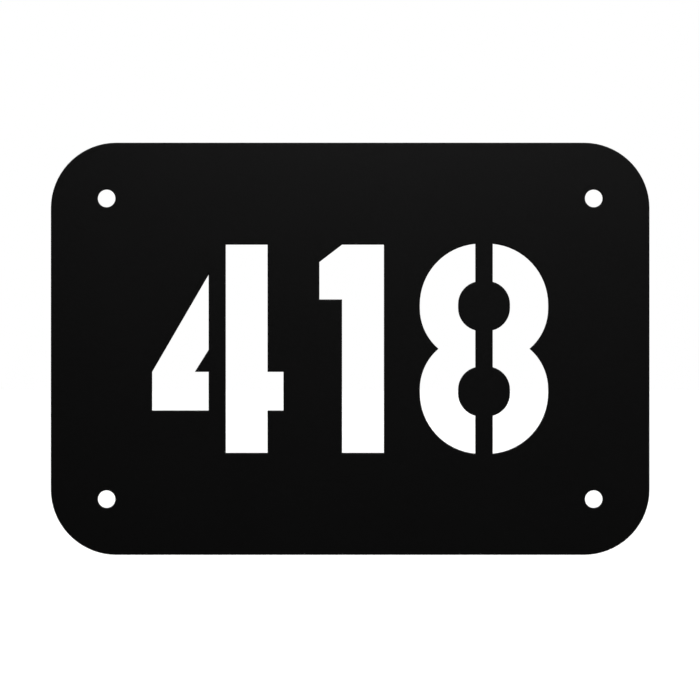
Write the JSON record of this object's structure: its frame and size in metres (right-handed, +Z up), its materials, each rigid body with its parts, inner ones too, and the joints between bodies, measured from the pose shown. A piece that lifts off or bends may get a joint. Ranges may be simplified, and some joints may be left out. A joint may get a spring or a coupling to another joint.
{
  "type": "house number plaque",
  "caption": "Flat steel plaque with rounded corners, a house number cut through it as a stencil, and a screw hole near each corner.",
  "frame": {"origin": "middle of the back face, at the centre of the rectangle of screw holes", "axes": "+X to the reader's right along the plaque's long side, +Z up the plaque, -Y out of its front face towards the reader"},
  "size_m": [0.2032, 0.002, 0.1398],
  "materials": {
    "black_powder_coat": "satin black powder coat over sheet steel, with a very fine, even texture"
  },
  "bodies": {
    "root": {"number_plaque": "black_powder_coat"}
  },
  "joints": []
}
